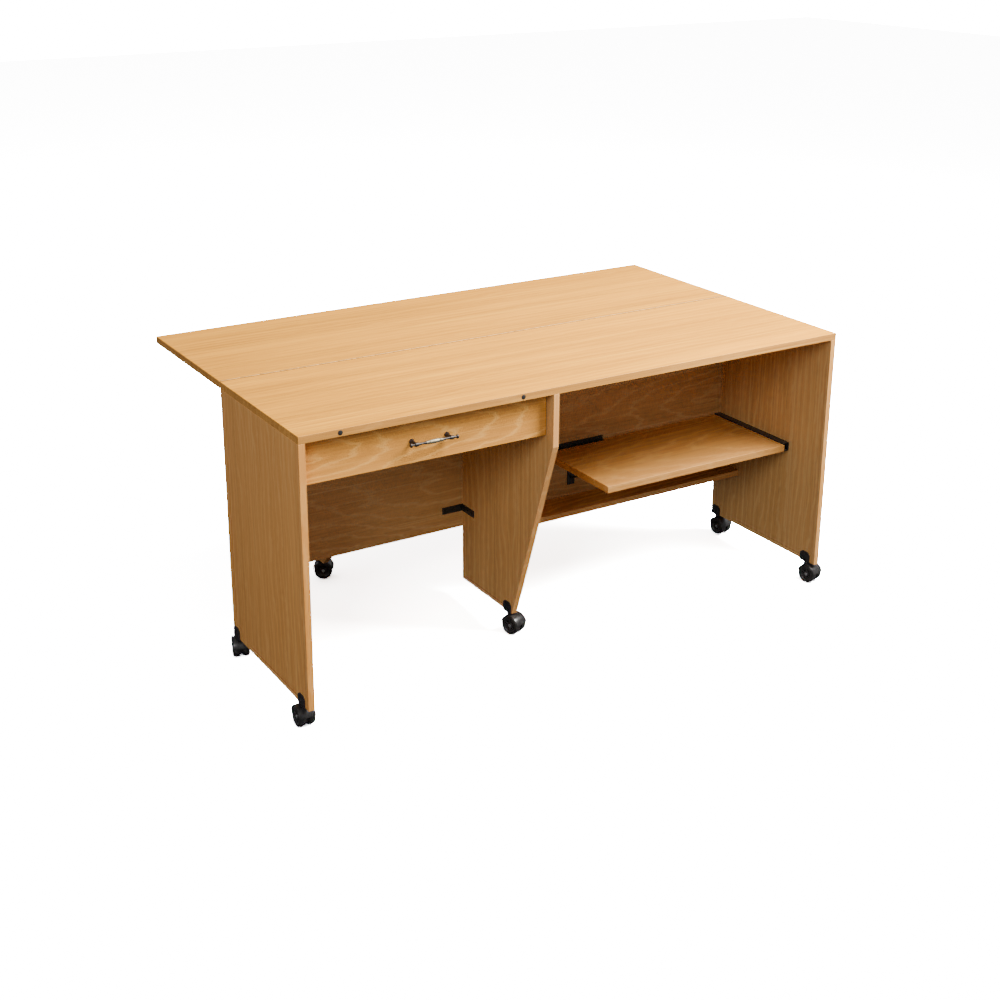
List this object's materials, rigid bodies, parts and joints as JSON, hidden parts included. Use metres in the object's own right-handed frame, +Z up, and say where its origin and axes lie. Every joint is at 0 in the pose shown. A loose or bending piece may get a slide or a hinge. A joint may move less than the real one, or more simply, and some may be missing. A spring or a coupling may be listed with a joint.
{
  "type": "sewing table",
  "caption": "Mobile sewing table of oak laminate with a drawer, a low machine shelf, a rear flip-over leaf on a swinging gate leg, and twin-wheel casters.",
  "frame": {"origin": "centre of the table's box on the floor, with the leaf raised and the casters as stored", "axes": "+X along the table to its right end, +Y from the front to the leaf, +Z up"},
  "size_m": [1.5594, 0.8834, 0.7163],
  "materials": {
    "oak_top": "satin laminate",
    "oak_upright": "satin laminate",
    "oak_board": "satin laminate",
    "drawer_box": "satin",
    "hardboard": "smooth",
    "dowel": "raw",
    "cap": "matte",
    "zinc": "cast",
    "black_plastic": "matte",
    "black_steel": "satin",
    "hood_nylon": "semi-gloss",
    "wheel_nylon": "semi-gloss",
    "dark_pewter": "satin",
    "pewter": "satin",
    "white_nylon": "matte",
    "runner_steel": "zinc plated",
    "brass": "satin",
    "screw_steel": "zinc plated",
    "black_screw": "satin"
  },
  "bodies": {
    "frame": {"tabletop": "oak_top", "seam_hinge_plate_fixed": "brass", "flush_screws": "screw_steel", "seam_hinge_pin": "brass", "left_panel": "oak_upright", "right_panel": "oak_upright", "centre_panel": "oak_upright", "back_panel": "oak_board", "rear_board": "oak_board", "dowels": "dowel", "cam_fittings": "zinc", "cam_caps": "cap", "edge_plugs": "black_plastic", "corner_braces": "black_steel", "pan_screws": "black_screw", "machine_shelf": "oak_board", "shelf_rail": "black_steel", "shelf_angle": "black_steel", "shelf_brackets": "black_steel", "cabinet_runners": "runner_steel", "gate_hinge_plates_fixed": "brass", "gate_hinge_pins": "brass", "caster_brackets": "black_steel"},
    "leaf": {"leaf": "oak_top", "seam_hinge_plate_leaf": "brass", "leaf_screws": "screw_steel"},
    "drawer": {"drawer_front": "oak_board", "drawer_side_left": "drawer_box", "drawer_side_right": "drawer_box", "drawer_back": "drawer_box", "drawer_bottom": "hardboard", "drawer_dowels": "dowel", "drawer_runners": "runner_steel", "drawer_glides": "white_nylon", "drawer_handle": "dark_pewter", "handle_grip": "pewter", "drawer_screws": "screw_steel"},
    "gate": {"gate_leg": "oak_upright", "gate_pad": "white_nylon", "gate_hinge_plates_moving": "brass", "gate_screws": "screw_steel", "caster_bracket_gate": "black_steel"},
    "hood_front_left": {"caster_hood_front_left": "hood_nylon"},
    "wheel_left_front_left": {"caster_wheel_left_front_left": "wheel_nylon"},
    "wheel_right_front_left": {"caster_wheel_right_front_left": "wheel_nylon"},
    "hood_rear_left": {"caster_hood_rear_left": "hood_nylon"},
    "wheel_left_rear_left": {"caster_wheel_left_rear_left": "wheel_nylon"},
    "wheel_right_rear_left": {"caster_wheel_right_rear_left": "wheel_nylon"},
    "hood_centre": {"caster_hood_centre": "hood_nylon"},
    "wheel_left_centre": {"caster_wheel_left_centre": "wheel_nylon"},
    "wheel_right_centre": {"caster_wheel_right_centre": "wheel_nylon"},
    "hood_front_right": {"caster_hood_front_right": "hood_nylon"},
    "wheel_left_front_right": {"caster_wheel_left_front_right": "wheel_nylon"},
    "wheel_right_front_right": {"caster_wheel_right_front_right": "wheel_nylon"},
    "hood_rear_right": {"caster_hood_rear_right": "hood_nylon"},
    "wheel_left_rear_right": {"caster_wheel_left_rear_right": "wheel_nylon"},
    "wheel_right_rear_right": {"caster_wheel_right_rear_right": "wheel_nylon"},
    "hood_gate": {"caster_hood_gate": "hood_nylon"},
    "wheel_left_gate": {"caster_wheel_left_gate": "wheel_nylon"},
    "wheel_right_gate": {"caster_wheel_right_gate": "wheel_nylon"}
  },
  "joints": [
    {"name": "drawer_slide", "type": "slide", "parent": "frame", "child": "drawer", "axis": [0, -1, 0], "range_m": [0, 0.28]},
    {"name": "leaf_fold", "type": "hinge", "parent": "frame", "child": "leaf", "pos_m": [-0.00221, 0.00367, 0.7143], "axis": [1, 0, 0], "range_deg": [0, 180]},
    {"name": "gate_swing", "type": "hinge", "parent": "frame", "child": "gate", "pos_m": [-0.38091, 0.00697, 0.4975], "axis": [0, 0, 1], "range_deg": [-90, 0]},
    {"name": "swivel_front_left", "type": "hinge", "parent": "frame", "child": "hood_front_left", "pos_m": [-0.75621, -0.39833, 0.058], "axis": [0, 0, 1], "continuous": true},
    {"name": "spin_left_front_left", "type": "hinge", "parent": "hood_front_left", "child": "wheel_left_front_left", "pos_m": [-0.75621, -0.38633, 0.025], "axis": [1, 0, 0], "continuous": true},
    {"name": "spin_right_front_left", "type": "hinge", "parent": "hood_front_left", "child": "wheel_right_front_left", "pos_m": [-0.75621, -0.38633, 0.025], "axis": [1, 0, 0], "continuous": true},
    {"name": "swivel_rear_left", "type": "hinge", "parent": "frame", "child": "hood_rear_left", "pos_m": [-0.75621, -0.01833, 0.058], "axis": [0, 0, 1], "continuous": true},
    {"name": "spin_left_rear_left", "type": "hinge", "parent": "hood_rear_left", "child": "wheel_left_rear_left", "pos_m": [-0.7531, -0.00674, 0.025], "axis": [0.9659, -0.2588, 0], "continuous": true},
    {"name": "spin_right_rear_left", "type": "hinge", "parent": "hood_rear_left", "child": "wheel_right_rear_left", "pos_m": [-0.7531, -0.00674, 0.025], "axis": [0.9659, -0.2588, 0], "continuous": true},
    {"name": "swivel_centre", "type": "hinge", "parent": "frame", "child": "hood_centre", "pos_m": [-0.11021, -0.23933, 0.058], "axis": [0, 0, 1], "continuous": true},
    {"name": "spin_left_centre", "type": "hinge", "parent": "hood_centre", "child": "wheel_left_centre", "pos_m": [-0.1061, -0.25061, 0.025], "axis": [-0.9397, -0.342, 0], "continuous": true},
    {"name": "spin_right_centre", "type": "hinge", "parent": "hood_centre", "child": "wheel_right_centre", "pos_m": [-0.1061, -0.25061, 0.025], "axis": [-0.9397, -0.342, 0], "continuous": true},
    {"name": "swivel_front_right", "type": "hinge", "parent": "frame", "child": "hood_front_right", "pos_m": [0.75179, -0.39833, 0.058], "axis": [0, 0, 1], "continuous": true},
    {"name": "spin_left_front_right", "type": "hinge", "parent": "hood_front_right", "child": "wheel_left_front_right", "pos_m": [0.75429, -0.41007, 0.025], "axis": [-0.9781, -0.2079, 0], "continuous": true},
    {"name": "spin_right_front_right", "type": "hinge", "parent": "hood_front_right", "child": "wheel_right_front_right", "pos_m": [0.75429, -0.41007, 0.025], "axis": [-0.9781, -0.2079, 0], "continuous": true},
    {"name": "swivel_rear_right", "type": "hinge", "parent": "frame", "child": "hood_rear_right", "pos_m": [0.75179, -0.01833, 0.058], "axis": [0, 0, 1], "continuous": true},
    {"name": "spin_left_rear_right", "type": "hinge", "parent": "hood_rear_right", "child": "wheel_left_rear_right", "pos_m": [0.75346, -0.03021, 0.025], "axis": [-0.9903, -0.1392, 0], "continuous": true},
    {"name": "spin_right_rear_right", "type": "hinge", "parent": "hood_rear_right", "child": "wheel_right_rear_right", "pos_m": [0.75346, -0.03021, 0.025], "axis": [-0.9903, -0.1392, 0], "continuous": true},
    {"name": "swivel_gate", "type": "hinge", "parent": "gate", "child": "hood_gate", "pos_m": [-0.39221, 0.30367, 0.058], "axis": [0, 0, 1], "continuous": true},
    {"name": "spin_left_gate", "type": "hinge", "parent": "hood_gate", "child": "wheel_left_gate", "pos_m": [-0.38182, 0.29767, 0.025], "axis": [-0.5, -0.866, 0], "continuous": true},
    {"name": "spin_right_gate", "type": "hinge", "parent": "hood_gate", "child": "wheel_right_gate", "pos_m": [-0.38182, 0.29767, 0.025], "axis": [-0.5, -0.866, 0], "continuous": true}
  ]
}
